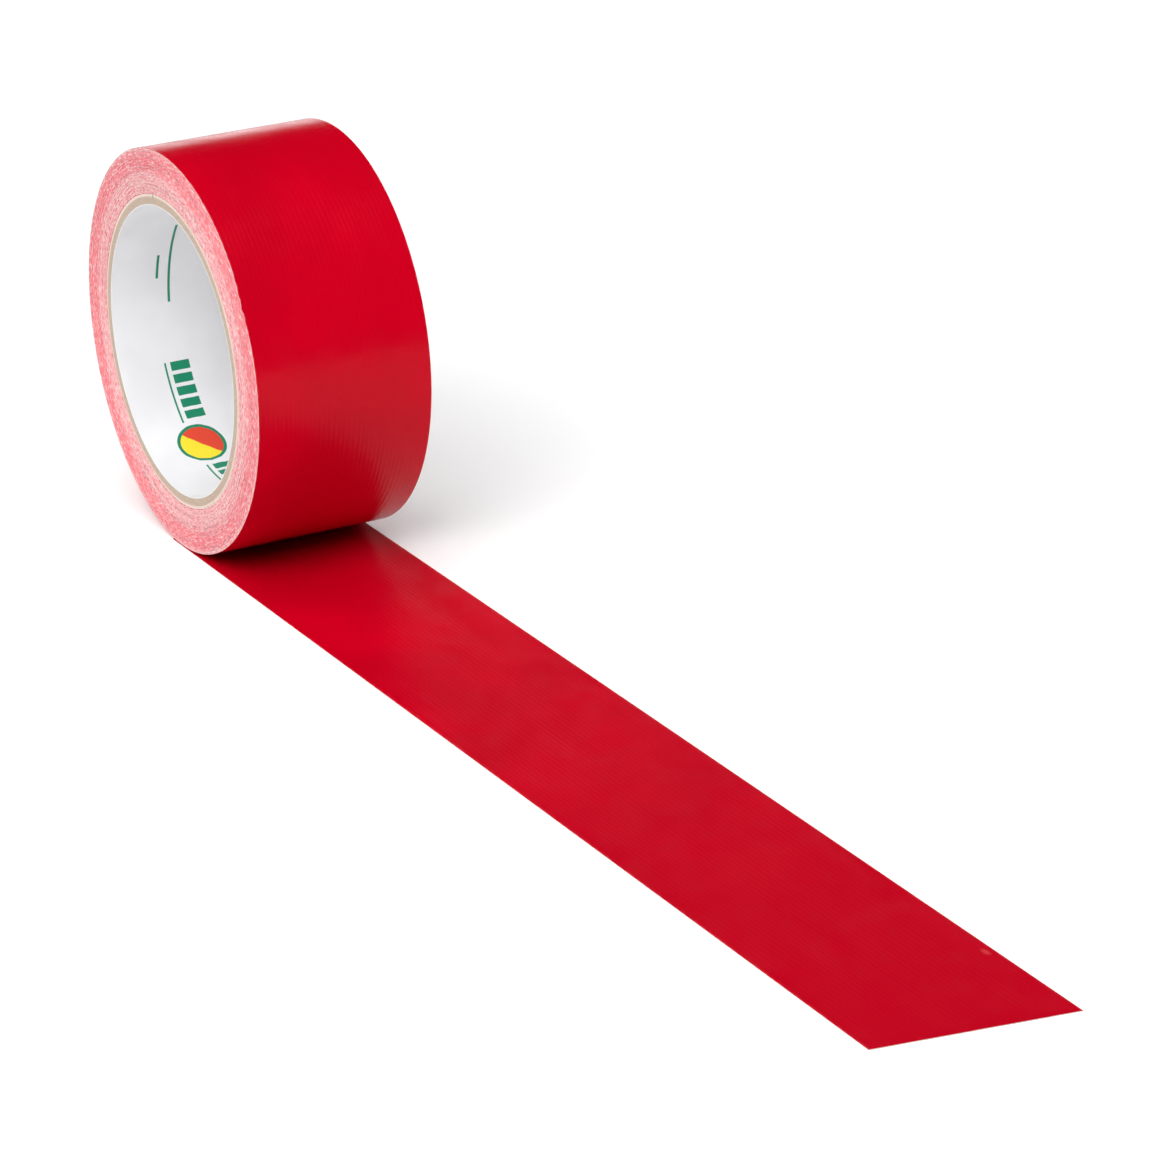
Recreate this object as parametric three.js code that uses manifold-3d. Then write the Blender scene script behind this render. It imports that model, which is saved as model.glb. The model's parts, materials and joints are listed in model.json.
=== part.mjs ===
// A roll of cloth-backed adhesive tape that stands on its rim, with a length of tape peeled off
// and laid out flat, sticky side down. Millimetres. +X runs from under the roll to the free end,
// +Y is the roll's axis and +Z is up. The origin is on the surface the tape lies on, straight
// under the axis, in the middle of the tape's width.

import * as THREE from "three";
import { mergeVertices } from "three/addons/utils/BufferGeometryUtils.js";
import Module from "manifold-3d";

// ---- Driving dimensions ----

const TAPE_WIDTH = 48;
const TAPE_THICKNESS = 0.2;
const TURNS = 60;

const BORE_RADIUS = 38.1; // a three-inch core
const LINER_THICKNESS = 0.2;
const PLY_THICKNESS = 0.6;
const PLY_COUNT = 4;
const GLUE_LINE = 0.02; // between one ply and the next

const STRIP_LENGTH_LEFT = 346.5; // the free end is cut slightly askew
const STRIP_LENGTH_RIGHT = 353.9;
const TAIL_HINGE_X = 230; // where the free end bends when it is lifted

const RUNNING_GAP = 0.1; // between the turning roll and the tape laid under it
const LAYER_GAP = 0.01; // between laminated layers
const BUTT_GAP = 0.05; // between lengths of the same layer

const SEAM_WIDTH = 0.3; // the helical butt joint of one core ply
const SEAM_SPAN_DEG = 150; // how far round the core a seam travels across the tape's width
const FACETS = 72; // flats round each ring
const FOLD_INNER_RADIUS = 0.06; // the crease where the tape turns back under the roll
const FOLD_SEGMENTS = 12;

// The three layers of the tape, as heights above its sticky face.
const LAYERS = {
  adhesive: { bottom: 0, top: 0.08 - LAYER_GAP },
  scrim: { bottom: 0.08, top: 0.12 - LAYER_GAP },
  film: { bottom: 0.12, top: TAPE_THICKNESS },
};

// ---- Worked-out dimensions ----

const CORE_RADIUS = BORE_RADIUS + LINER_THICKNESS + PLY_COUNT * (PLY_THICKNESS + GLUE_LINE);
const WINDING_BASE = CORE_RADIUS + GLUE_LINE;
const ROLL_RADIUS = WINDING_BASE + (TURNS + 1) * TAPE_THICKNESS;
const AXIS_HEIGHT = TAPE_THICKNESS + RUNNING_GAP + ROLL_RADIUS;

const FACET_ANGLE = (2 * Math.PI) / FACETS;
const LIFT_OFF_ANGLE = -Math.PI / 2 - 1.2 * FACET_ANGLE; // just behind the lowest point
const FOLD_X = ROLL_RADIUS * Math.cos(LIFT_OFF_ANGLE);
const STRIP_START = FOLD_X + BUTT_GAP;
const STRIP_END = TAIL_HINGE_X - BUTT_GAP / 2;
const TAIL_START = TAIL_HINGE_X + BUTT_GAP / 2;

// ---- Materials ----

const finish = (color, roughness) =>
  new THREE.MeshStandardMaterial({ color, roughness, metalness: 0 });

const MATERIALS = {
  film: finish(0xc90025, 0.3),
  scrim: finish(0xefe6e0, 0.95),
  adhesive: finish(0xd9cfc4, 0.6),
  woundEdge: finish(0xf2a9ad, 0.8),
  kraft: finish(0xc8b89c, 0.9),
  liner: finish(0xe9e9ec, 0.45),
};

// ---- Solids, cut with manifold-3d ----

const wasm = await Module();
wasm.setup();

function solidFrom(geometry) {
  const bare = geometry.clone();
  bare.deleteAttribute("normal");
  bare.deleteAttribute("uv");
  const merged = mergeVertices(bare, 1e-3);
  return new wasm.Manifold(
    new wasm.Mesh({
      numProp: 3,
      vertProperties: merged.attributes.position.array,
      triVerts: new Uint32Array(merged.index.array),
    }),
  );
}

function geometryFrom(solid) {
  const mesh = solid.getMesh();
  const geometry = new THREE.BufferGeometry();
  geometry.setAttribute("position", new THREE.BufferAttribute(mesh.vertProperties, 3));
  geometry.setIndex(new THREE.BufferAttribute(mesh.triVerts, 1));
  geometry.computeVertexNormals();
  return geometry;
}

// ---- Outlines and extrusions ----

// An outline drawn in the XZ plane, given the tape's width along Y.
function acrossWidth(outline, curveSegments = 1) {
  const geometry = new THREE.ExtrudeGeometry(outline, {
    depth: TAPE_WIDTH,
    bevelEnabled: false,
    curveSegments,
  });
  return geometry.translate(0, 0, -TAPE_WIDTH / 2).rotateX(Math.PI / 2);
}

const polar = (radius, angle) =>
  new THREE.Vector2(radius * Math.cos(angle), radius * Math.sin(angle));

function ringOutline(innerRadius, outerRadius) {
  const circle = (radius) =>
    Array.from({ length: FACETS }, (_, i) => polar(radius, LIFT_OFF_ANGLE + i * FACET_ANGLE));
  const outline = new THREE.Shape(circle(outerRadius));
  outline.holes.push(new THREE.Path(circle(innerRadius)));
  return outline;
}

// The radius of the tape's sticky face after some number of turns from where it leaves the roll.
const stickyRadius = (turns) => ROLL_RADIUS - TAPE_THICKNESS * (1 + turns);

// One facetted turn of a spiral, starting firstTurn turns in from the outside. It starts just
// short of the end of the turn before it.
function turnOf(firstTurn, height) {
  const buttAngle = BUTT_GAP / ROLL_RADIUS;
  return Array.from({ length: FACETS + 1 }, (_, i) => {
    const angle = Math.max(i * FACET_ANGLE, buttAngle);
    return polar(stickyRadius(firstTurn + i / FACETS) + height, LIFT_OFF_ANGLE + angle);
  });
}

// ---- The core: a printed liner and board plies, each wound on a slant with one butt seam ----

// A thin helical blade that follows the seam through a ply, in the ring's own axes.
function seamBlade(radius, thickness, phase) {
  const steps = Math.round((SEAM_SPAN_DEG / 360) * FACETS) + 2;
  const stepLength = TAPE_WIDTH / (steps - 2);
  const depth = thickness * 3;
  const blade = new THREE.BoxGeometry(SEAM_WIDTH, steps * stepLength, depth, 1, steps, 1);
  const points = blade.attributes.position;
  for (let i = 0; i < points.count; i++) {
    const along = points.getY(i);
    const angle = phase + (along / stepLength) * FACET_ANGLE + points.getX(i) / radius;
    const distance = radius + points.getZ(i);
    points.setXYZ(i, distance * Math.cos(angle), distance * Math.sin(angle), along);
  }
  return blade.rotateX(Math.PI / 2);
}

function corePly(innerRadius, thickness, phase) {
  const ring = acrossWidth(ringOutline(innerRadius, innerRadius + thickness));
  const blade = seamBlade(innerRadius + thickness / 2, thickness, phase);
  return geometryFrom(solidFrom(ring).subtract(solidFrom(blade)));
}

// ---- The wound tape ----

// One turn of one layer, as a strip that spirals inwards.
function layerTurn(firstTurn, layer) {
  const outside = turnOf(firstTurn, layer.top);
  const inside = turnOf(firstTurn, layer.bottom).reverse();
  return acrossWidth(new THREE.Shape([...outside, ...inside]));
}

// The turns between the outermost one and the innermost one, stuck together into one body.
function middleTurns() {
  const outline = new THREE.Shape(turnOf(1, TAPE_THICKNESS - LAYER_GAP));
  outline.holes.push(new THREE.Path(turnOf(TURNS - 2, LAYER_GAP)));
  return acrossWidth(outline);
}

// ---- The peeled tape ----

// One layer of the crease: it turns from the laid tape up to the roll's lowest point.
function foldLayer(layer) {
  const outerRadius = FOLD_INNER_RADIUS + TAPE_THICKNESS - layer.bottom;
  const innerRadius = FOLD_INNER_RADIUS + TAPE_THICKNESS - layer.top;
  const centreHeight = FOLD_INNER_RADIUS + TAPE_THICKNESS;
  const top = Math.PI / 2;
  const bottom = (3 * Math.PI) / 2;
  const outline = new THREE.Shape();
  outline.absarc(FOLD_X, centreHeight, outerRadius, top, bottom, false);
  outline.absarc(FOLD_X, centreHeight, innerRadius, bottom, top, true);
  return acrossWidth(outline, FOLD_SEGMENTS);
}

// A flat length of one layer, whose left and right edges may end at different places.
function flatLayer(layer, start, endLeft, endRight) {
  const half = TAPE_WIDTH / 2;
  const outline = new THREE.Shape([
    new THREE.Vector2(start, -half),
    new THREE.Vector2(endLeft, -half),
    new THREE.Vector2(endRight, half),
    new THREE.Vector2(start, half),
  ]);
  const geometry = new THREE.ExtrudeGeometry(outline, {
    depth: layer.top - layer.bottom,
    bevelEnabled: false,
  });
  return geometry.translate(0, 0, layer.bottom);
}

// ---- Assembly ----

function part(group, name, geometry, material) {
  const mesh = new THREE.Mesh(geometry, material);
  mesh.name = name;
  group.add(mesh);
}

function buildRoll() {
  const roll = new THREE.Group();
  roll.position.z = AXIS_HEIGHT;

  part(roll, "core_liner", corePly(BORE_RADIUS, LINER_THICKNESS, Math.PI), MATERIALS.liner);
  for (let i = 0; i < PLY_COUNT; i++) {
    const inner =
      BORE_RADIUS + LINER_THICKNESS + GLUE_LINE + i * (PLY_THICKNESS + GLUE_LINE);
    const phase = LIFT_OFF_ANGLE + Math.round((FACETS * i) / PLY_COUNT) * FACET_ANGLE;
    part(roll, `core_ply_${i + 1}`, corePly(inner, PLY_THICKNESS, phase), MATERIALS.kraft);
  }

  part(roll, "wound_turns", middleTurns(), MATERIALS.woundEdge);
  for (const [name, layer] of Object.entries(LAYERS)) {
    part(roll, `first_turn_${name}`, layerTurn(TURNS - 1, layer), MATERIALS[name]);
    part(roll, `outer_turn_${name}`, layerTurn(0, layer), MATERIALS[name]);
  }
  return roll;
}

function buildPeeledTape() {
  const peeled = new THREE.Group();
  for (const [name, layer] of Object.entries(LAYERS)) {
    const strip = flatLayer(layer, STRIP_START, STRIP_END, STRIP_END);
    const tail = flatLayer(layer, TAIL_START, STRIP_LENGTH_LEFT, STRIP_LENGTH_RIGHT);
    part(peeled, `fold_${name}`, foldLayer(layer), MATERIALS[name]);
    part(peeled, `strip_${name}`, strip, MATERIALS[name]);
    part(peeled, `tail_${name}`, tail, MATERIALS[name]);
  }
  return peeled;
}

const tapeRoll = new THREE.Group();
tapeRoll.add(buildRoll(), buildPeeledTape());

export default tapeRoll;
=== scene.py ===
import json
import math

import bpy
import numpy as np
from bpy.props import FloatProperty, FloatVectorProperty, IntProperty, PointerProperty
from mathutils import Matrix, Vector


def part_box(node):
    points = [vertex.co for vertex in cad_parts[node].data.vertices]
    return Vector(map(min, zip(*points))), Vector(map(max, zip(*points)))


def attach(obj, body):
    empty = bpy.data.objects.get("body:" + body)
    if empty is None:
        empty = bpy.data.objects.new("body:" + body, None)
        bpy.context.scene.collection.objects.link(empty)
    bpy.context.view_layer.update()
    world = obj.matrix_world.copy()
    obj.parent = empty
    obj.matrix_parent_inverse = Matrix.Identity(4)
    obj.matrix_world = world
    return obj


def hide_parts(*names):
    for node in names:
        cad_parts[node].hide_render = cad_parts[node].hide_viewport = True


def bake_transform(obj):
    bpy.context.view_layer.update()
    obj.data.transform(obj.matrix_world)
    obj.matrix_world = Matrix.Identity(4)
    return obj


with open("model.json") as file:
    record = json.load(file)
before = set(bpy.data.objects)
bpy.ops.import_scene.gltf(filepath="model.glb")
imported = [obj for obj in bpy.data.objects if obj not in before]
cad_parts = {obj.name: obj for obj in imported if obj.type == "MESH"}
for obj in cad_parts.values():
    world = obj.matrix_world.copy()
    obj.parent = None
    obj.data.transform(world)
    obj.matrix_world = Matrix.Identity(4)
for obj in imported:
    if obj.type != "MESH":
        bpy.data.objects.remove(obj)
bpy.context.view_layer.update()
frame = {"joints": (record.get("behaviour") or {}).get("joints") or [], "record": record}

bl_info = {
    "name": "Cloth Tape Roll",
    "version": (1, 0, 0),
    "blender": (4, 5, 0),
    "location": "3D View > Sidebar > Tape Roll",
    "description": "Builds a roll of cloth-backed tape with a length peeled off and laid flat",
    "category": "Object",
}

# ---- Sizes that come from the frame ----

JOINTS = {joint["name"]: joint for joint in frame["joints"]}
AXIS_HEIGHT = JOINTS["roll_spin"]["pos_m"][2]
ROLL_RADIUS = -1 / frame["record"]["behaviour"]["couplings"][0]["ratio"]
TAIL_HINGE_X = JOINTS["tail_lift"]["pos_m"][0]
TAPE_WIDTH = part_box("wound_turns")[1][1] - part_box("wound_turns")[0][1]
TAPE_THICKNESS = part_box("strip_film")[1][2]
STRIP_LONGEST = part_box("tail_film")[1][0]
FOLD_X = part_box("fold_film")[1][0]
FOLD_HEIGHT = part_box("fold_adhesive")[1][2]
LAYERS = {
    name: (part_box(f"strip_{name}")[0][2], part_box(f"strip_{name}")[1][2])
    for name in ("adhesive", "scrim", "film")
}

FULL_TURN = 2 * math.pi
LIFT_OFF_ANGLE = math.atan2(-math.sqrt(ROLL_RADIUS**2 - FOLD_X**2), FOLD_X)
METRES_PER_TURN = FULL_TURN * 0.9 * ROLL_RADIUS
PLACE = "layer_place"  # metres along the layer, metres across it, and height in the tape

# ---- Small sizes that are the same all over, in metres ----

GLUE_LINE = 0.00002  # between one ply of the core and the next
LAYER_GAP = 0.00001  # left free under and over each of the middle turns of tape
BUTT_GAP = 0.00005  # where a wound length of tape starts past the one before it
SEAM_GAP = 0.0003  # between the two ends of a rolled ply
SEAM_LEAD = math.radians(150)  # how far round a ply's seam travels across the width
WARP_PITCH, WEFT_PITCH = 0.0013, 0.0026  # the cloth's yarns along the tape and across it
BOARD_SKIN = (0.0401, 0.0404)  # radii between which the board turns pale, at its outside
GLINT_ALONG, GLINT_ACROSS = 0.3244, 0.0219  # where a small highlight is painted on the strip's film as a pale spot
PAINTED_SHADE_X = (0.1, 0.36)  # X between which a painted shade darkens the strip towards its free end

# ---- The knocked place, counted in turns ----

KNOCK_AT, KNOCK_HALF_WIDTH, KNOCK_DEPTH = 0.345, 0.02, 1.5
DENTS_PER_TURN = 85

# ---- Grid steps ----

PLY_STEPS, PLY_ROWS = 216, 16
PACK_STEPS, TURN_STEPS = 144, 288  # in one turn, for the middle turns and for a single layer
ARC_STEPS, STRIP_STEPS, FREE_STEPS = 24, 72, 120


# ---- What a user would change ----


class TapeSizes(bpy.types.PropertyGroup):
    bore_radius: FloatProperty(
        name="Bore radius",
        description="Radius of the hole through the core",
        default=0.0381,
        unit="LENGTH",
    )
    liner_thickness: FloatProperty(
        name="Liner thickness",
        description="Thickness of the printed paper inside the core",
        default=0.0002,
        unit="LENGTH",
    )
    ply_thickness: FloatProperty(
        name="Ply thickness",
        description="Thickness of one board ply of the core",
        default=0.0006,
        unit="LENGTH",
    )
    ply_count: IntProperty(
        name="Plies", description="Number of board plies in the core", default=4, min=1
    )
    turns: IntProperty(
        name="Turns", description="Number of turns of tape on the roll", default=60, min=3
    )
    end_skew: FloatProperty(
        name="End skew",
        description="How much longer the free end's right edge is than its left edge",
        default=0.0074,
        unit="LENGTH",
    )
    stagger: FloatProperty(
        name="Stagger",
        description="How far the edges of single turns stand out of the roll's end face",
        default=0.00007,
        unit="LENGTH",
    )


class TapeColours(bpy.types.PropertyGroup):
    film: FloatVectorProperty(
        name="Film",
        description="Colour of the glossy outer film",
        subtype="COLOR",
        size=4,
        default=(0.59, 0.0, 0.013, 1),
    )
    adhesive: FloatVectorProperty(
        name="Adhesive",
        description="Colour of the sticky side",
        subtype="COLOR",
        size=4,
        default=(0.72, 0.62, 0.55, 1),
    )
    scrim: FloatVectorProperty(
        name="Cloth",
        description="Colour of the cloth's yarns",
        subtype="COLOR",
        size=4,
        default=(0.88, 0.84, 0.80, 1),
    )
    kraft: FloatVectorProperty(
        name="Core board",
        description="Colour of the core's board",
        subtype="COLOR",
        size=4,
        default=(0.52, 0.405, 0.315, 1),
    )
    liner: FloatVectorProperty(
        name="Liner",
        description="Colour of the paper inside the core",
        subtype="COLOR",
        size=4,
        default=(0.81, 0.81, 0.83, 1),
    )
    print_green: FloatVectorProperty(
        name="Print",
        description="Colour of the bars printed on the liner",
        subtype="COLOR",
        size=4,
        default=(0.0, 0.22, 0.11, 1),
    )


# ---- Modelling helpers ----


def deselect_all():
    if bpy.context.object and bpy.context.object.mode != "OBJECT":
        bpy.ops.object.mode_set(mode="OBJECT")
    bpy.ops.object.select_all(action="DESELECT")


def select_only(piece):
    deselect_all()
    piece.select_set(True)
    bpy.context.view_layer.objects.active = piece


def flat_length(name, thickness, steps, rows=1):
    """A length of one layer before it is shaped: one unit long and wide, lying on z = 0."""
    deselect_all()
    bpy.ops.mesh.primitive_grid_add(x_subdivisions=steps, y_subdivisions=rows, size=1)
    piece = bpy.context.object
    piece.name = piece.data.name = name
    solidify = piece.modifiers.new("Thickness", "SOLIDIFY")
    solidify.thickness = thickness
    solidify.offset = 1
    bpy.ops.object.modifier_apply(modifier=solidify.name)
    return piece


def shape_layer(piece, place):
    """Moves each point of a flat length to where place() puts it.

    place takes how far along the length a point is (0 to 1), how far across (-0.5 to 0.5) and
    its height. It gives x, y and z, and the metres along, across and up in the layer, which are
    kept on the mesh for the piece's patterns.
    """
    mesh = piece.data
    points = np.empty(len(mesh.vertices) * 3)
    mesh.vertices.foreach_get("co", points)
    x, y, z = points.reshape(-1, 3).T
    moved, in_layer = place(x + 0.5, y, z)
    mesh.vertices.foreach_set("co", np.stack(moved, axis=1).ravel())
    attribute = mesh.attributes.new(PLACE, "FLOAT_VECTOR", "POINT")
    attribute.data.foreach_set("vector", np.stack(in_layer, axis=1).ravel())
    mesh.update()
    select_only(piece)
    bpy.ops.object.mode_set(mode="EDIT")
    bpy.ops.mesh.select_all(action="SELECT")
    bpy.ops.mesh.normals_make_consistent(inside=False)
    bpy.ops.object.mode_set(mode="OBJECT")
    bpy.ops.object.shade_smooth_by_angle(angle=math.radians(35))
    return piece


def round_the_axis(radius, angle, across):
    return radius * np.cos(angle), across, AXIS_HEIGHT + radius * np.sin(angle)


def sticky_radius(turn):
    """Radius of the tape's sticky face, that many turns in from where it leaves the roll."""
    return ROLL_RADIUS - TAPE_THICKNESS * (1 + turn)


def stand_out(turn, across, stagger):
    """How far a turn is shifted along the axis: the slow drift and jitter of a winding machine.

    The outermost turns' left edge also bulges a little where the roll has been knocked.
    """
    drift = 0.5 * np.sin(0.55 * turn) + 0.35 * np.sin(1.37 * turn + 1.0)
    jitter = 0.6 * np.sin(2.9 * turn + 0.4) + 0.5 * np.sin(4.7 * turn + 2.0)
    dents = 1 + 0.45 * np.sin(FULL_TURN * DENTS_PER_TURN * (turn % 1))
    from_knock = (turn % 1 - KNOCK_AT) / KNOCK_HALF_WIDTH
    knock = dents * np.exp(-(from_knock**2) - turn / KNOCK_DEPTH)
    return stagger * (drift + jitter - 6 * knock * (0.5 - across))


def finish_piece(piece, body, material, nodes):
    piece.data.materials.clear()
    piece.data.materials.append(material)
    if nodes:
        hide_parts(*nodes)
    if body:
        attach(piece, body)
    return piece


# ---- Material helpers ----


def wire(tree, value, socket):
    """Joins another node's output to a socket, or sets the socket to a plain value."""
    if isinstance(value, bpy.types.NodeSocket):
        tree.links.new(value, socket)
    else:
        socket.default_value = value


def maths(tree, operation, *values):
    node = tree.nodes.new("ShaderNodeMath")
    node.operation = operation
    for value, socket in zip(values, node.inputs):
        wire(tree, value, socket)
    return node.outputs[0]


def mix_colour(tree, factor, first, second):
    node = tree.nodes.new("ShaderNodeMix")
    node.data_type = "RGBA"
    wire(tree, factor, node.inputs["Factor"])
    wire(tree, first, node.inputs["A"])
    wire(tree, second, node.inputs["B"])
    return node.outputs["Result"]


def ramp(tree, value, low, high, to_low=0.0, to_high=1.0):
    """Turns low..high into to_low..to_high, eased and held at the ends."""
    node = tree.nodes.new("ShaderNodeMapRange")
    node.interpolation_type = "SMOOTHSTEP"
    wire(tree, value, node.inputs["Value"])
    for name, number in (
        ("From Min", low),
        ("From Max", high),
        ("To Min", to_low),
        ("To Max", to_high),
    ):
        node.inputs[name].default_value = number
    return node.outputs["Result"]


def noise(tree, vector, scale, detail=2.0, roughness=0.5):
    node = tree.nodes.new("ShaderNodeTexNoise")
    wire(tree, vector, node.inputs["Vector"])
    node.inputs["Scale"].default_value = scale
    node.inputs["Detail"].default_value = detail
    node.inputs["Roughness"].default_value = roughness
    return node.outputs["Fac"]


def stretched(tree, x, y, z, scales):
    """A vector whose parts are scaled one by one, for streaks and fibres."""
    node = tree.nodes.new("ShaderNodeCombineXYZ")
    for value, scale, socket in zip((x, y, z), scales, node.inputs):
        wire(tree, maths(tree, "MULTIPLY", value, scale), socket)
    return node.outputs[0]


def layer_place(tree):
    """Metres along, across and up in a layer."""
    attribute = tree.nodes.new("ShaderNodeAttribute")
    attribute.attribute_name = PLACE
    split = tree.nodes.new("ShaderNodeSeparateXYZ")
    tree.links.new(attribute.outputs["Vector"], split.inputs[0])
    return split.outputs[0], split.outputs[1], split.outputs[2]


def from_axis(tree):
    """Metres from the roll's axis: level, upright and straight out."""
    coordinates = tree.nodes.new("ShaderNodeTexCoord")
    split = tree.nodes.new("ShaderNodeSeparateXYZ")
    tree.links.new(coordinates.outputs["Object"], split.inputs[0])
    x, z = split.outputs[0], maths(tree, "SUBTRACT", split.outputs[2], AXIS_HEIGHT)
    return x, z, distance_of(tree, x, z)


def ring_place(tree, along_scale, radial_scale):
    """A vector for patterns that run round the axis without a join, such as winding lines."""
    x, z, radius = from_axis(tree)
    around = along_scale * ROLL_RADIUS
    cosine, sine = maths(tree, "DIVIDE", x, radius), maths(tree, "DIVIDE", z, radius)
    return stretched(tree, cosine, sine, radius, (around, around, radial_scale))


def yarns_mask(tree, along, across, up, warp_top, weft_top):
    """1 on the cloth's yarns and 0 in the openings between them."""
    wander = noise(tree, stretched(tree, along, across, up, (40, 40, 0)), 1.0, 2)
    sway = maths(tree, "MULTIPLY", wander, 0.6)
    warp = ramp(tree, ridges(tree, across, WARP_PITCH, sway), 0.5, warp_top)
    weft = ramp(tree, ridges(tree, along, WEFT_PITCH, sway), 0.6, weft_top)
    return maths(tree, "MAXIMUM", warp, weft)


def new_material(name):
    material = bpy.data.materials.new(name)
    material.use_nodes = True
    tree = material.node_tree
    return material, tree, tree.nodes["Principled BSDF"]


def add_bump(tree, shader, height, distance, strength=1.0):
    bump = tree.nodes.new("ShaderNodeBump")
    bump.inputs["Strength"].default_value = strength
    bump.inputs["Distance"].default_value = distance
    wire(tree, height, bump.inputs["Height"])
    tree.links.new(bump.outputs["Normal"], shader.inputs["Normal"])


def distance_of(tree, x, y):
    """How far x, y is from 0, 0."""
    squares = maths(tree, "MULTIPLY_ADD", x, x, maths(tree, "MULTIPLY", y, y))
    return maths(tree, "SQRT", squares)


def shaded(colour, factor):
    """A colour made darker or lighter, with its alpha left at 1."""
    return tuple(factor * c for c in colour[:3]) + (1,)


def ridges(tree, place, pitch, wobble):
    """Rows of yarn: 0 between two yarns and 1 on the crown of one."""
    phase = maths(tree, "ADD", maths(tree, "DIVIDE", place, pitch), wobble)
    wave = maths(tree, "SINE", maths(tree, "MULTIPLY", phase, FULL_TURN))
    return maths(tree, "MULTIPLY_ADD", wave, 0.5, 0.5)


# ---- Materials ----


def film_material(colours):
    """Glossy film with the cloth's yarns showing through as faint ribs."""
    material, tree, shader = new_material("red_film")
    along, across, up = layer_place(tree)

    wander = noise(tree, stretched(tree, along, across, up, (6, 40, 0)), 1.0, 2)
    warp = ridges(tree, across, WARP_PITCH, maths(tree, "MULTIPLY", wander, 3.0))
    fine = noise(tree, stretched(tree, along, across, up, (4, 1500, 0)), 1.0, 3)
    weft = noise(tree, stretched(tree, along, across, up, (700, 12, 0)), 1.0, 2)
    dents = noise(tree, stretched(tree, along, across, up, (90, 90, 0)), 1.0, 2)
    height = maths(tree, "MULTIPLY", warp, 0.55)
    height = maths(tree, "MULTIPLY_ADD", fine, 1.2, height)
    height = maths(tree, "MULTIPLY_ADD", weft, 0.22, height)
    height = maths(tree, "MULTIPLY_ADD", dents, 1.5, height)
    add_bump(tree, shader, height, 0.00004, 0.6)

    deep = shaded(colours.film, 0.86)
    cloud = noise(tree, stretched(tree, along, across, up, (25, 30, 0)), 1.0, 3)
    colour = mix_colour(tree, ramp(tree, cloud, 0.3, 0.7), tuple(colours.film), deep)
    # Painted shade: the film's colour is made darker towards the strip's free end.
    painted_shade_end = shaded(colours.film, 0.82)
    colour = mix_colour(tree, ramp(tree, from_axis(tree)[0], *PAINTED_SHADE_X), colour, painted_shade_end)
    # A paler, nicked rim along both slit edges of the film: partly frayed edge, partly a
    # painted reflection rim.
    edge = maths(tree, "ABSOLUTE", across)
    edge = ramp(tree, edge, TAPE_WIDTH / 2 - 0.0004, TAPE_WIDTH / 2 - 0.00005, 0, 0.45)
    nicks = noise(tree, stretched(tree, along, across, up, (500, 900, 0)), 1.0, 2)
    edge = maths(tree, "MULTIPLY", edge, ramp(tree, nicks, 0.42, 0.62))
    colour = mix_colour(tree, edge, colour, (0.80, 0.10, 0.12, 1))
    # Painted highlight: a small pale spot on the strip's film.
    past_glint = maths(tree, "MULTIPLY", maths(tree, "SUBTRACT", along, GLINT_ALONG), 0.45)
    beside_glint = maths(tree, "SUBTRACT", across, GLINT_ACROSS)
    painted_glint = ramp(tree, distance_of(tree, past_glint, beside_glint), 0.0011, 0.0002, 0, 0.45)
    colour = mix_colour(tree, painted_glint, colour, (0.72, 0.09, 0.09, 1))
    wire(tree, colour, shader.inputs["Base Color"])
    rough = noise(tree, stretched(tree, along, across, up, (120, 160, 0)), 1.0, 3)
    wire(tree, ramp(tree, rough, 0.25, 0.75, 0.18, 0.27), shader.inputs["Roughness"])
    shader.inputs["IOR"].default_value = 1.36
    shader.inputs["Specular IOR Level"].default_value = 0.18
    return material


def slit_edge_material():
    """The wound tape's edge: red film, pale yarn ends and adhesive, turn on turn."""
    material, tree, shader = new_material("slit_edge")
    along, across, up = layer_place(tree)
    turn = maths(tree, "DIVIDE", along, METRES_PER_TURN)

    lines = noise(tree, ring_place(tree, 22, 1300), 1.0, 3, 0.6)
    dashes = noise(tree, ring_place(tree, 640, 3600), 1.0, 2)
    arcs = noise(tree, ring_place(tree, 30, 2700), 1.0, 1)
    dots = noise(tree, ring_place(tree, 1000, 1600), 1.0, 1)
    yarns = noise(tree, stretched(tree, along, across, up, (900, 0, 6000)), 1.0, 2)

    pale = (0.83, 0.43, 0.44, 1)
    rosy = (0.84, 0.225, 0.255, 1)
    redder = maths(
        tree, "MULTIPLY", ramp(tree, turn, 0, 11, 0.3), ramp(tree, turn, 40, 20, 0.1)
    )
    redder = maths(tree, "MULTIPLY_ADD", maths(tree, "SUBTRACT", lines, 0.5), 1.6, redder)
    colour = mix_colour(tree, ramp(tree, redder, 0, 1), pale, rosy)
    white = ramp(tree, dashes, 0.52, 0.66, 0, 0.75)
    colour = mix_colour(tree, white, colour, (0.93, 0.74, 0.72, 1))
    red = ramp(tree, dashes, 0.46, 0.34, 0, 0.8)
    colour = mix_colour(tree, red, colour, (0.72, 0.12, 0.15, 1))
    rows = maths(tree, "MULTIPLY", ramp(tree, arcs, 0.54, 0.6), ramp(tree, dots, 0.46, 0.58))
    rows = maths(tree, "MULTIPLY", rows, 0.62)
    colour = mix_colour(tree, rows, colour, (0.47, 0.2, 0.22, 1))
    yarn_ends = ramp(tree, yarns, 0.55, 0.75, 0, 0.4)
    colour = mix_colour(tree, yarn_ends, colour, (0.9, 0.8, 0.78, 1))
    wire(tree, colour, shader.inputs["Base Color"])
    height = maths(tree, "MULTIPLY_ADD", dashes, 0.6, maths(tree, "MULTIPLY", yarns, 0.4))
    add_bump(tree, shader, height, 0.00012, 0.6)
    shader.inputs["Roughness"].default_value = 0.75
    return material


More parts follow.
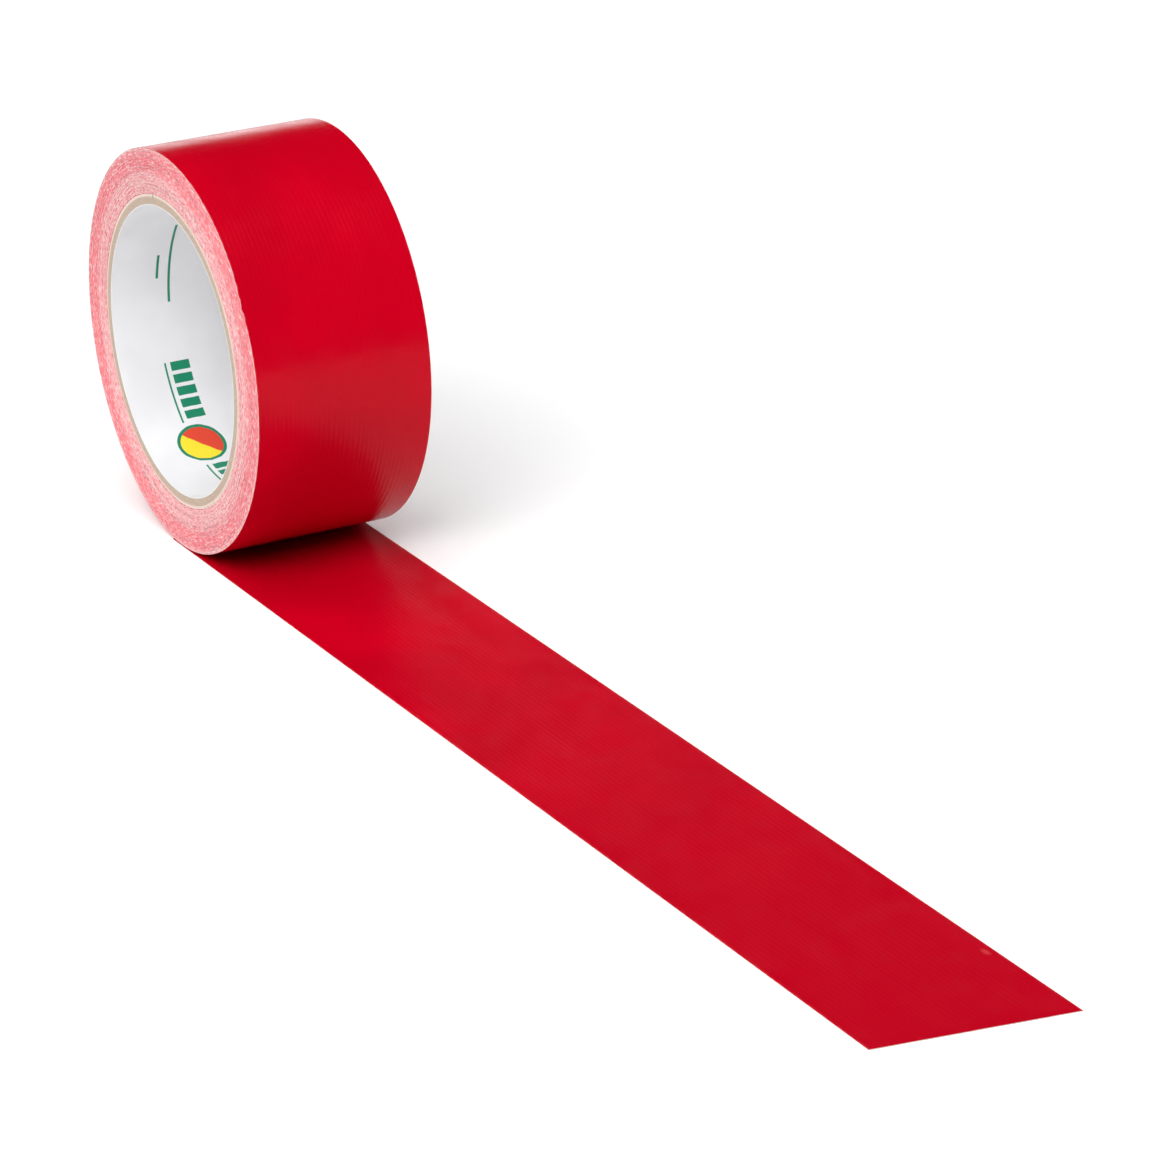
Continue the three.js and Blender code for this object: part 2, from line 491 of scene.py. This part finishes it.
def scrim_material(colours):
    """Open gauze: warp yarns along the tape and fewer weft yarns across it."""
    material, tree, shader = new_material("gauze")
    along, across, up = layer_place(tree)
    yarn = yarns_mask(tree, along, across, up, 0.9, 0.95)
    fibre = noise(tree, stretched(tree, along, across, up, (3000, 3000, 0)), 1.0, 2)
    shade = mix_colour(tree, fibre, tuple(colours.scrim), (0.66, 0.60, 0.56, 1))
    colour = mix_colour(tree, yarn, tuple(colours.adhesive), shade)
    wire(tree, colour, shader.inputs["Base Color"])
    add_bump(tree, shader, maths(tree, "MULTIPLY_ADD", fibre, 0.3, yarn), 0.0001, 0.7)
    shader.inputs["Roughness"].default_value = 0.85
    return material


def adhesive_material(colours):
    """Tacky rubber adhesive, with the gauze showing through it."""
    material, tree, shader = new_material("adhesive")
    along, across, up = layer_place(tree)
    yarn = yarns_mask(tree, along, across, up, 0.95, 0.97)
    lumps = noise(tree, stretched(tree, along, across, up, (260, 260, 0)), 1.0, 4, 0.6)
    pinkish = mix_colour(
        tree, ramp(tree, lumps, 0.35, 0.65), tuple(colours.adhesive), (0.74, 0.50, 0.46, 1)
    )
    colour = mix_colour(
        tree, maths(tree, "MULTIPLY", yarn, 0.6), pinkish, tuple(colours.scrim)
    )
    wire(tree, colour, shader.inputs["Base Color"])
    wire(tree, ramp(tree, lumps, 0.3, 0.7, 0.3, 0.5), shader.inputs["Roughness"])
    add_bump(tree, shader, maths(tree, "MULTIPLY_ADD", lumps, 0.8, yarn), 0.0001, 0.6)
    return material


def kraft_material(colours):
    """Unbleached board: flecks of fibre, pale at its outermost skin."""
    material, tree, shader = new_material("core_board")
    along, across, up = layer_place(tree)
    fibre = noise(tree, stretched(tree, along, across, up, (700, 2500, 5000)), 1.0, 3)
    cloud = noise(tree, stretched(tree, along, across, up, (90, 90, 300)), 1.0, 3)
    dark = shaded(colours.kraft, 0.72)
    light = tuple(min(1.2 * c, 0.9) for c in colours.kraft[:3]) + (1,)
    colour = mix_colour(tree, ramp(tree, fibre, 0.35, 0.7), dark, light)
    colour = mix_colour(
        tree, ramp(tree, cloud, 0.3, 0.7, 0.25, 0.75), colour, tuple(colours.kraft)
    )
    outermost = ramp(tree, from_axis(tree)[2], *BOARD_SKIN)
    colour = mix_colour(tree, outermost, colour, (0.74, 0.60, 0.52, 1))
    wire(tree, colour, shader.inputs["Base Color"])
    add_bump(tree, shader, fibre, 0.0001, 0.5)
    shader.inputs["Roughness"].default_value = 0.88
    return material


def box_mask(tree, u, v, u_range, v_range):
    """1 inside a rectangle on the liner, else 0."""
    inside = []
    for value, (low, high) in ((u, u_range), (v, v_range)):
        offset = maths(tree, "ABSOLUTE", maths(tree, "SUBTRACT", value, (low + high) / 2))
        inside.append(maths(tree, "LESS_THAN", offset, (high - low) / 2))
    return maths(tree, "MULTIPLY", *inside)


def bars_mask(tree, u, v, u_range, v_range):
    """1 on a row of thick bars that fills a rectangle on the liner, else 0."""
    pitch, filled = 5.2, 0.7
    row = box_mask(tree, u, v, u_range, v_range)
    past_start = maths(tree, "SUBTRACT", u, u_range[0])
    gaps = maths(tree, "FRACT", maths(tree, "DIVIDE", past_start, pitch))
    return maths(tree, "MULTIPLY", row, maths(tree, "LESS_THAN", gaps, filled))


def liner_material(colours, sizes):
    """White coated paper, printed with plain bars, rules and a plain roundel.

    u is in degrees round the core, the same in each half of it, and v is in millimetres across.
    """
    material, tree, shader = new_material("printed_liner")
    along, across, up = layer_place(tree)
    half_round = math.pi * sizes.bore_radius
    degree = half_round / 180
    u = maths(tree, "FLOORED_MODULO", maths(tree, "DIVIDE", along, degree), 180)
    v = maths(tree, "MULTIPLY", across, 1000)

    fibre = noise(tree, stretched(tree, along, across, up, (1800, 1800, 0)), 1.0, 3)
    shade = noise(tree, stretched(tree, along, across, up, (60, 60, 0)), 1.0, 2)
    grey = shaded(colours.liner, 0.93)
    paper = mix_colour(tree, ramp(tree, shade, 0.3, 0.7), tuple(colours.liner), grey)

    bars_across, rule_across = (-9.8, -4.4), (-11.5, -11.0)
    ink = bars_mask(tree, u, v, (24, 49), bars_across)
    ink = maths(tree, "MAXIMUM", ink, bars_mask(tree, u, v, (74, 95), bars_across))
    for u_range, v_range in (
        ((24, 50), rule_across),
        ((74, 95), rule_across),
        ((142, 179.9), (-8.0, -7.3)),
        ((158, 169), (-11.4, -10.7)),
    ):
        ink = maths(tree, "MAXIMUM", ink, box_mask(tree, u, v, u_range, v_range))

    from_u = maths(tree, "MULTIPLY", maths(tree, "SUBTRACT", u, 61.5), degree * 1000)
    from_v = maths(tree, "SUBTRACT", v, -9.0)
    distance = distance_of(tree, from_u, from_v)
    green, yellow, red = tuple(colours.print_green), (0.86, 0.70, 0.02, 1), (0.7, 0.05, 0.02, 1)
    rim, disc = (maths(tree, "LESS_THAN", distance, radius) for radius in (6.6, 5.7))
    colour = mix_colour(tree, ink, paper, green)
    colour = mix_colour(tree, rim, colour, green)
    halves = mix_colour(tree, maths(tree, "LESS_THAN", from_u, from_v), yellow, red)
    colour = mix_colour(tree, disc, colour, halves)
    wire(tree, colour, shader.inputs["Base Color"])
    add_bump(tree, shader, fibre, 0.00003, 0.4)
    shader.inputs["Roughness"].default_value = 0.42
    return material


# ---- The core ----


def rolled_ply(name, inner_radius, thickness, seam_angle):
    """One ply of the core: a flat sheet with slanted ends, rolled up until they almost meet."""
    seam_gap = SEAM_GAP / inner_radius

    def place(along, across, height):
        angle = seam_angle + along * (FULL_TURN - seam_gap) + SEAM_LEAD * across
        y = across * TAPE_WIDTH
        moved = round_the_axis(inner_radius + height, angle, y)
        return moved, (angle * inner_radius, y, height)

    return shape_layer(flat_length(name, thickness, PLY_STEPS, PLY_ROWS), place)


class TAPE_OT_core(bpy.types.Operator):
    """Makes the core: a printed liner inside spiral-wound board plies"""

    bl_idname = "tape.core"
    bl_label = "Core"

    def execute(self, context):
        sizes, colours = context.scene.tape_sizes, context.scene.tape_colours
        liner = rolled_ply("core_liner_paper", sizes.bore_radius, sizes.liner_thickness, 0)
        material = liner_material(colours, sizes)
        finish_piece(liner, "roll", material, ["core_liner"])

        board = kraft_material(colours)
        radius = sizes.bore_radius + sizes.liner_thickness + GLUE_LINE
        for i in range(sizes.ply_count):
            seam_angle = LIFT_OFF_ANGLE + FULL_TURN * i / sizes.ply_count
            ply = rolled_ply(f"core_board_{i + 1}", radius, sizes.ply_thickness, seam_angle)
            finish_piece(ply, "roll", board, [f"core_ply_{i + 1}"])
            radius += sizes.ply_thickness + GLUE_LINE
        return {"FINISHED"}


# ---- The wound tape ----


def wound_length(
    name, first_turn, last_turn, bottom, top, steps_per_turn, stagger, seat=None
):
    """One layer, or the whole tape, wound from one turn to another.

    With a seat, its inner face is round and has that radius, because the soft adhesive fills
    the step beside the tape's inner end.
    """
    turns = last_turn - first_turn
    butt = BUTT_GAP / ROLL_RADIUS / FULL_TURN

    def place(along, across, height):
        turn = first_turn + np.maximum(along * turns, butt)
        angle = LIFT_OFF_ANGLE + (turn - first_turn) * FULL_TURN
        y = across * TAPE_WIDTH
        shift = stand_out(turn, across, stagger)
        radius = sticky_radius(turn) + bottom + height
        if seat is not None:
            radius = np.where(height < (top - bottom) / 2, seat, radius)
        moved = round_the_axis(radius, angle, y + shift)
        return moved, (turn * METRES_PER_TURN, y, bottom + height)

    steps = round(turns * steps_per_turn)
    return shape_layer(flat_length(name, top - bottom, steps), place)


class TAPE_OT_winding(bpy.types.Operator):
    """Winds the tape onto the core, with its innermost and outermost turns in three layers"""

    bl_idname = "tape.winding"
    bl_label = "Winding"

    def execute(self, context):
        sizes, colours = context.scene.tape_sizes, context.scene.tape_colours
        top = TAPE_THICKNESS - LAYER_GAP
        pack = wound_length(
            "wound_tape", 1, sizes.turns - 1, LAYER_GAP, top, PACK_STEPS, sizes.stagger
        )
        finish_piece(pack, "roll", MATERIALS["slit_edge"], ["wound_turns"])
        for layer, (bottom, top) in LAYERS.items():
            for turn, prefix in ((0, "outer_turn"), (sizes.turns - 1, "first_turn")):
                on_core = turn > 0 and layer == "adhesive"
                seat = sticky_radius(sizes.turns) if on_core else None
                name = f"{prefix}_{layer}_layer"
                piece = wound_length(
                    name, turn, turn + 1, bottom, top, TURN_STEPS, sizes.stagger, seat
                )
                finish_piece(piece, "roll", MATERIALS[layer], [f"{prefix}_{layer}"])
        return {"FINISHED"}


# ---- The peeled tape ----


def crease_and_strip(name, bottom, top, end):
    """One layer from the crease under the roll along the flat strip to end."""
    centre_height = FOLD_HEIGHT / 2
    arc_share = ARC_STEPS / (ARC_STEPS + STRIP_STEPS)

    def place(along, across, height):
        y = across * TAPE_WIDTH
        level = bottom + height
        radius = centre_height - level
        bend = np.clip(along / arc_share, 0, 1)
        angle = math.pi / 2 + bend * math.pi
        flat = np.clip((along - arc_share) / (1 - arc_share), 0, 1)
        x = FOLD_X + radius * np.cos(angle) + flat * (end - FOLD_X)
        z = centre_height + radius * np.sin(angle)
        travelled = bend * math.pi * centre_height + flat * (end - FOLD_X)
        return (x, y, z), (travelled, y, level)

    return shape_layer(flat_length(name, top - bottom, ARC_STEPS + STRIP_STEPS), place)


def free_length(name, bottom, top, start, skew):
    """One layer from start to the free end, which is cut a little askew."""

    def place(along, across, height):
        y = across * TAPE_WIDTH
        end = STRIP_LONGEST - skew * (0.5 - across)
        x = start + along * (end - start)
        return (x, y, bottom + height), (x - FOLD_X, y, bottom + height)

    return shape_layer(flat_length(name, top - bottom, FREE_STEPS), place)


class TAPE_OT_peeled_length(bpy.types.Operator):
    """Lays out the peeled length: a crease under the roll, a flat strip and a free end"""

    bl_idname = "tape.peeled_length"
    bl_label = "Peeled length"

    def execute(self, context):
        skew = context.scene.tape_sizes.end_skew
        split = TAIL_HINGE_X / 2
        for layer, (bottom, top) in LAYERS.items():
            strip = crease_and_strip(f"strip_{layer}_layer", bottom, top, split)
            nodes = [f"fold_{layer}", f"strip_{layer}"]
            finish_piece(strip, None, MATERIALS[layer], nodes)
            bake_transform(strip)

            end = free_length(f"free_end_{layer}_layer", bottom, top, split, skew)
            finish_piece(end, None, MATERIALS[layer], [f"tail_{layer}"])
            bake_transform(end)
        return {"FINISHED"}


# ---- The stage ----


def soft_light(name, place, target, size, radiance):
    """A rectangular soft light at place, turned to face target, that looks radiance bright."""
    bpy.ops.object.light_add(type="AREA", location=place)
    light = bpy.context.object
    light.name = name
    light.data.shape = "RECTANGLE"
    light.data.size, light.data.size_y = size
    light.data.energy = radiance * math.pi * size[0] * size[1]
    light.visible_camera = False
    direction = Vector(target) - Vector(place)
    light.rotation_euler = direction.to_track_quat("-Z", "Y").to_euler()
    return light


def floor_material():
    material, tree, shader = new_material("pale_floor")
    coordinates = tree.nodes.new("ShaderNodeTexCoord")
    grain = noise(tree, coordinates.outputs["Object"], 6.0, 2)
    colour = mix_colour(tree, grain, (0.95, 0.95, 0.95, 1), (0.92, 0.92, 0.92, 1))
    wire(tree, colour, shader.inputs["Base Color"])
    shader.inputs["Roughness"].default_value = 0.9
    shader.inputs["Specular IOR Level"].default_value = 0.1
    shader.inputs["Emission Color"].default_value = (1, 1, 1, 1)
    shader.inputs["Emission Strength"].default_value = 0.14
    return material


class TAPE_OT_stage(bpy.types.Operator):
    """Sets the floor, the soft lights and the camera"""

    bl_idname = "tape.stage"
    bl_label = "Stage"

    def execute(self, context):
        deselect_all()
        bpy.ops.mesh.primitive_plane_add(size=12, location=(0, 0, -0.0001))
        floor = context.object
        floor.name = "floor"
        floor.data.materials.append(floor_material())

        middle = (0.05, 0, 0.04)
        soft_light("key_light", (1.1, -1.2, 1.5), middle, (1.4, 1.1), 5.3)
        soft_light("fill_light", (0.1, 1.9, 0.9), middle, (1.5, 1.2), 1.4)
        soft_light("back_light", (-1.9, 1.0, 0.225), middle, (2.2, 0.45), 1.7)
        bpy.ops.object.light_add(type="SUN", location=(0.4, -0.7, 2.0))
        overhead = context.object
        overhead.name = "overhead_light"
        overhead.data.energy = 2.4
        overhead.data.angle = math.radians(80)
        shines = Vector((-0.25, 0.6, -1.3))
        overhead.rotation_euler = shines.to_track_quat("-Z", "Y").to_euler()

        world = context.scene.world or bpy.data.worlds.new("studio")
        context.scene.world = world
        world.use_nodes = True
        background = world.node_tree.nodes["Background"]
        background.inputs["Color"].default_value = (1, 1, 1, 1)
        rays = world.node_tree.nodes.new("ShaderNodeLightPath")
        to_camera = rays.outputs["Is Camera Ray"]
        strength = maths(world.node_tree, "MULTIPLY_ADD", to_camera, 0.9, 0.012)
        wire(world.node_tree, strength, background.inputs["Strength"])

        deselect_all()
        bpy.ops.object.camera_add(
            location=(1.22047, -0.54305, 0.49914),
            rotation=[math.radians(a) for a in (68.7784, 1.5322, 61.8541)],
        )
        camera = context.object
        camera.data.sensor_width = 36
        camera.data.lens = 167.305
        camera.data.clip_start, camera.data.clip_end = 0.05, 50
        context.scene.camera = camera
        context.scene.view_settings.view_transform = "Standard"
        return {"FINISHED"}


# ---- The sidebar and the build ----


class TAPE_PT_roll(bpy.types.Panel):
    """Lists the steps that build the tape roll"""

    bl_label = "Tape Roll"
    bl_idname = "TAPE_PT_roll"
    bl_space_type = "VIEW_3D"
    bl_region_type = "UI"
    bl_category = "Tape Roll"

    def draw(self, context):
        for group in (context.scene.tape_sizes, context.scene.tape_colours):
            for name in group.__annotations__:
                self.layout.prop(group, name)
        for operator in OPERATORS:
            self.layout.operator(operator.bl_idname)


OPERATORS = (TAPE_OT_stage, TAPE_OT_core, TAPE_OT_winding, TAPE_OT_peeled_length)
CLASSES = (TapeSizes, TapeColours, *OPERATORS, TAPE_PT_roll)
MATERIALS = {}


def register():
    for cls in CLASSES:
        bpy.utils.register_class(cls)
    bpy.types.Scene.tape_sizes = PointerProperty(type=TapeSizes)
    bpy.types.Scene.tape_colours = PointerProperty(type=TapeColours)


def unregister():
    del bpy.types.Scene.tape_sizes
    del bpy.types.Scene.tape_colours
    for cls in reversed(CLASSES):
        bpy.utils.unregister_class(cls)


def main():
    register()
    colours = bpy.context.scene.tape_colours
    MATERIALS.update(
        film=film_material(colours),
        scrim=scrim_material(colours),
        adhesive=adhesive_material(colours),
        slit_edge=slit_edge_material(),
    )
    bpy.ops.tape.stage()
    bpy.ops.tape.core()
    bpy.ops.tape.winding()
    bpy.ops.tape.peeled_length()


if __name__ == "__main__":
    main()
